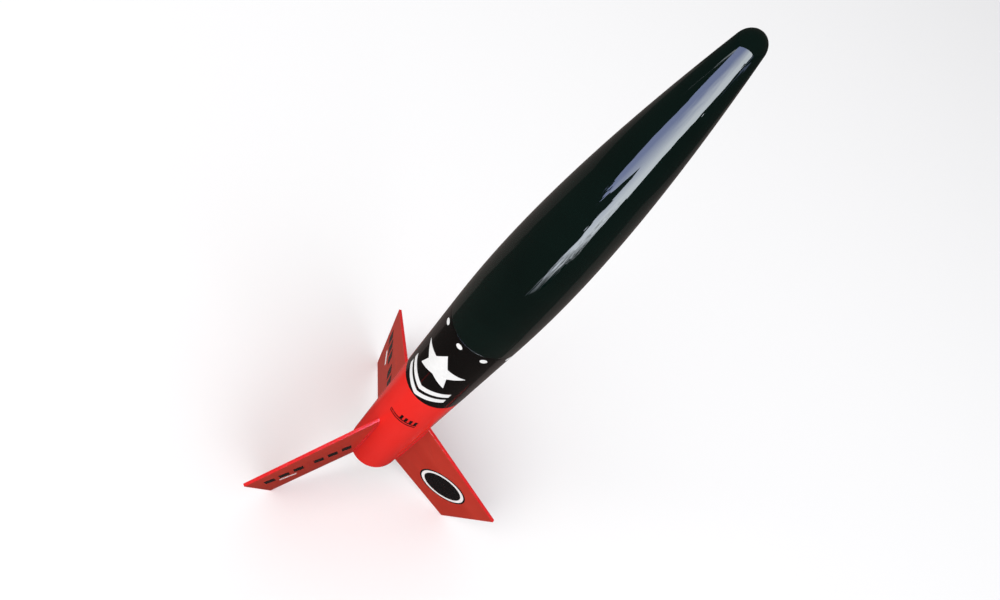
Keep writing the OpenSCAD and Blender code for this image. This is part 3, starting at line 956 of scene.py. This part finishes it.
def add_light(name, place, aim, size, power, colour=(1, 1, 1)):
    """A soft area light that polished surfaces don't mirror."""
    data = bpy.data.lights.new(name, "AREA")
    data.shape = "RECTANGLE"
    data.size, data.size_y = size
    data.energy = power
    data.color = colour
    lamp = bpy.data.objects.new(name, data)
    lamp.location = place
    lamp.rotation_mode = "QUATERNION"
    lamp.rotation_quaternion = (Vector(aim) - Vector(place)).to_track_quat("-Z", "Y")
    lamp.visible_glossy = False
    lamp.visible_camera = False
    bpy.context.scene.collection.objects.link(lamp)


def card_glow(name, left, right, strength, fade, ragged=0.0, blend=(0, 1)):
    """A lit panel's surface. fade is the two heights, from 0 at its foot to 1 at its top, between which
    it comes up to full strength, and blend the two places across it where its colour changes."""
    material = bpy.data.materials.new(name)
    material.use_nodes = True
    tree = material.node_tree
    tree.nodes.clear()
    out = tree.nodes.new("ShaderNodeOutputMaterial")
    glow = tree.nodes.new("ShaderNodeEmission")
    link(tree, glow.outputs[0], out.inputs[0])
    coords = tree.nodes.new("ShaderNodeTexCoord")
    split = tree.nodes.new("ShaderNodeSeparateXYZ")
    link(tree, coords.outputs["Generated"], split.inputs[0])
    across = tree.nodes.new("ShaderNodeMapping")
    across.inputs["Scale"].default_value = (1, 1, 0.04)
    link(tree, coords.outputs["Object"], across.inputs["Vector"])
    slivers = noise_node(tree, across.outputs[0], 70, detail=5, roughness=0.7)
    height = math_node(tree, "ADD", split.outputs["Z"], remap(tree, slivers, 0.3, 0.7, -ragged, ragged))
    lit = remap(tree, height, *fade, 0, strength)
    share = remap(tree, split.outputs["X"], *blend, 0, 1)
    link(tree, mix_colours(tree, share, left, right), glow.inputs["Color"])
    link(tree, lit, glow.inputs["Strength"])
    return material


def add_card(name, corners, material):
    """A lit panel that only polished surfaces see, as a soft box's face mirrored in them."""
    mesh = bpy.data.meshes.new(name)
    mesh.from_pydata([Vector(c) * MM for c in corners], [], [tuple(range(len(corners)))])
    mesh.materials.append(material)
    card = bpy.data.objects.new(name, mesh)
    for flag in ("visible_camera", "visible_diffuse", "visible_transmission", "visible_shadow"):
        setattr(card, flag, False)
    bpy.context.scene.collection.objects.link(card)


def make_lights():
    middle = (0, 0, 0.2)
    add_light("key", (-1.6, -2.0, 3.2), middle, (2.4, 2.4), 72, (1.0, 0.985, 0.96))
    add_light("fill", (2.4, -1.6, 2.2), middle, (2.4, 2.4), 32, (0.95, 0.97, 1.0))
    front = -260
    streak = [
        (26, 278), (-14, 244), (-55, 218), (-90, 240), (-130, 278), (-165, 334), (-300, 385),
        (-160, 440), (-40, 478), (60, 486), (160, 476), (240, 445), (290, 400), (225, 300),
        (188, 270), (208, 170), (222, 105), (195, 35), (62, 45), (74, 165), (46, 262),
    ]
    right_line = [(385, 300), (445, 300), (378, 430), (345, 430)]
    left_line = [(-690, 215), (-640, 226), (-440, 335), (-262, 392), (-274, 374), (-470, 318)]
    violet, pale = (0.28, 0.33, 0.56), (0.86, 0.93, 1.0)
    panels = [
        ("card_streak", streak, (violet, pale, 12.5, (0.1, 0.32), 0.22, (0.40, 0.72))),
        ("card_right", right_line, (violet, violet, 8, (-0.2, 1.0), 0.1)),
        ("card_left", left_line, (pale, pale, 6, (-0.2, 1.2), 0.1)),
    ]
    for name, outline, glow in panels:
        add_card(name, [(x, front, z) for x, z in outline], card_glow(name, *glow))
    above_floor = cad_low.z / MM + 1
    dusk = (0.155, 0.128, 0.12)
    behind = [(-700, 25), (700, 25), (900, 900), (-900, 900)]
    glow = card_glow("card_back", dusk, dusk, 1, (-1.0, -0.5))
    add_card("card_back", [(x, y, above_floor) for x, y in behind], glow)


dress_kept_parts()
make_nose()
make_tube()
for number, degrees in enumerate(FIN_ANGLES, start=1):
    make_fin(number, degrees)
make_fillets()
make_shock_cord()
make_canopy()
make_lines()
make_wadding()
make_floor()
make_world()
make_lights()
bpy.context.scene.view_settings.view_transform = "Standard"
